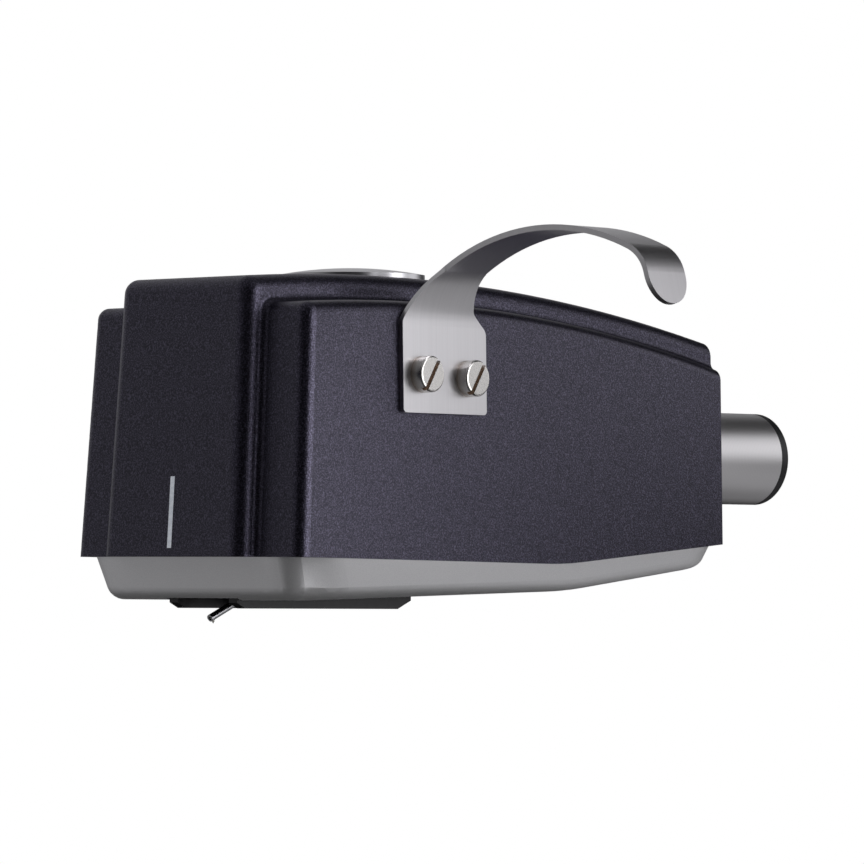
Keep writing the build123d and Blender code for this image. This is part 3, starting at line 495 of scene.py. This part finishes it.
# Studio: the part hangs over a pale floor in a small light tent, whose cloth glows where lamps stand
# behind it. Only reflections see the tent, so the ground behind the part stays white.
tent_r = 0.11
tent_dim = 0.012
floor_side = 6.0
floor_drop = 0.25
lamp_distance = 0.9
lamp_size = 0.6
middle = (cad_low + cad_high) / 2


def bare_tree(owner):
    """The emptied node tree of a new material or world."""
    owner.use_nodes = True
    owner.node_tree.nodes.clear()
    return owner.node_tree


def direction(azimuth, elevation):
    """The unit vector that points at an azimuth and elevation, in degrees."""
    a, e = radians(azimuth), radians(elevation)
    return Vector((cos(a) * cos(e), sin(a) * cos(e), sin(e)))


def seen_directly(tree):
    """Is 1 for rays that come straight from the camera, by reflection or through glass, else 0."""
    ray = add(tree, "ShaderNodeLightPath").outputs
    seen = add(
        tree, "ShaderNodeMath", {0: ray["Is Camera Ray"], 1: ray["Is Glossy Ray"]}, operation="MAXIMUM"
    )
    return add(tree, "ShaderNodeMath", {0: seen, 1: ray["Is Transmission Ray"]}, operation="MAXIMUM")


bpy.ops.mesh.primitive_plane_add(size=floor_side, location=(0, 0, cad_low.z - floor_drop))
floor = bpy.context.object
floor.name = "floor"
paper = bpy.data.materials.new("white_paper_floor")
tree = bare_tree(paper)
matt = add(tree, "ShaderNodeBsdfDiffuse", {"Color": linear("#e8e8e8")})
white = add(tree, "ShaderNodeEmission", {"Color": linear("#ffffff"), "Strength": 1.0})
both = add(tree, "ShaderNodeMixShader", {0: seen_directly(tree), 1: matt, 2: white})
add(tree, "ShaderNodeOutputMaterial", {"Surface": both})
floor.data.materials.append(paper)

bpy.ops.mesh.primitive_uv_sphere_add(segments=48, ring_count=24, radius=tent_r, location=middle)
tent = bpy.context.object
tent.name = "light_tent"
tent.visible_camera = False
tent.visible_diffuse = False
tent.visible_transmission = False
tent.visible_shadow = False
cloth = bpy.data.materials.new("lit_tent_cloth")
tree = bare_tree(cloth)
place = add(tree, "ShaderNodeTexCoord").outputs["Object"]
towards = add(tree, "ShaderNodeVectorMath", {0: place}, operation="NORMALIZE")
glow = tent_dim
for azimuth, elevation, full_deg, edge_deg, level in (
    (-78, 2, 5, 41, 2.70),
    (-72, 34, 6, 28, 0.80),
    (-20, 14, 5, 22, 0.95),
    (-24, -31, 6, 27, 0.30),
    (140, 2, 15, 52, 0.26),
    (-136, -45, 10, 45, 0.06),
    (12, -28, 5, 22, 0.20),
    (180, 70, 15, 60, 0.20),
    (75, 25, 20, 55, 0.40),
):
    aim = direction(azimuth, elevation)
    along = add(tree, "ShaderNodeVectorMath", {0: towards, 1: aim}, operation="DOT_PRODUCT")
    patch = add(
        tree,
        "ShaderNodeMapRange",
        {
            "Value": along.outputs["Value"],
            "From Min": cos(radians(edge_deg)),
            "From Max": cos(radians(full_deg)),
            "To Min": 0.0,
            "To Max": level,
        },
        interpolation_type="SMOOTHSTEP",
    )
    glow = add(tree, "ShaderNodeMath", {0: glow, 1: patch.outputs["Result"]}, operation="ADD")
lit = add(tree, "ShaderNodeEmission", {"Color": linear("#fdfcff"), "Strength": glow})
add(tree, "ShaderNodeOutputMaterial", {"Surface": lit})
tent.data.materials.append(cloth)

for name, azimuth, elevation, power in (("key_lamp", -46, 25, 3.0), ("fill_lamp", 150, 30, 1.2)):
    aim = direction(azimuth, elevation)
    data = bpy.data.lights.new(name, "AREA")
    data.shape = "DISK"
    data.size = lamp_size
    data.energy = power
    lamp = bpy.data.objects.new(name, data)
    bpy.context.scene.collection.objects.link(lamp)
    lamp.location = middle + aim * lamp_distance
    lamp.rotation_euler = aim.to_track_quat("Z", "Y").to_euler()
    lamp.visible_glossy = False

world = bpy.data.worlds.new("white_ground")
bpy.context.scene.world = world
tree = bare_tree(world)
sky_level = add(tree, "ShaderNodeMapRange", {"Value": seen_directly(tree), "To Min": 0.35, "To Max": 1.0})
sky = add(tree, "ShaderNodeBackground", {"Color": linear("#ffffff"), "Strength": sky_level.outputs["Result"]})
add(tree, "ShaderNodeOutputWorld", {"Surface": sky})


# Camera: a long lens almost level with the part, to the left of its front and just below its middle.
# Its place, tilt and roll were fitted to the photograph's outlines.
view_azimuth, view_tilt, view_roll = 46.05, 1.39, radians(0.346)
target = Vector((-27.44, 0, 1.59)) * MM
distance = 548.8 * MM
ahead = direction(view_azimuth, view_tilt)
level_right = direction(view_azimuth - 90, 0)
level_up = level_right.cross(ahead)
right = level_right * cos(view_roll) + level_up * sin(view_roll)
up = level_up * cos(view_roll) - level_right * sin(view_roll)
lens = bpy.data.cameras.new("camera")
lens.sensor_width = 36.0
lens.lens = 272.6
lens.clip_start, lens.clip_end = 0.05, 20.0
camera = bpy.data.objects.new("camera", lens)
bpy.context.scene.collection.objects.link(camera)
turn = Matrix((right, up, -ahead)).transposed().to_4x4()
camera.matrix_world = Matrix.Translation(target - ahead * distance) @ turn
bpy.context.scene.camera = camera
bpy.context.scene.view_settings.view_transform = "Standard"
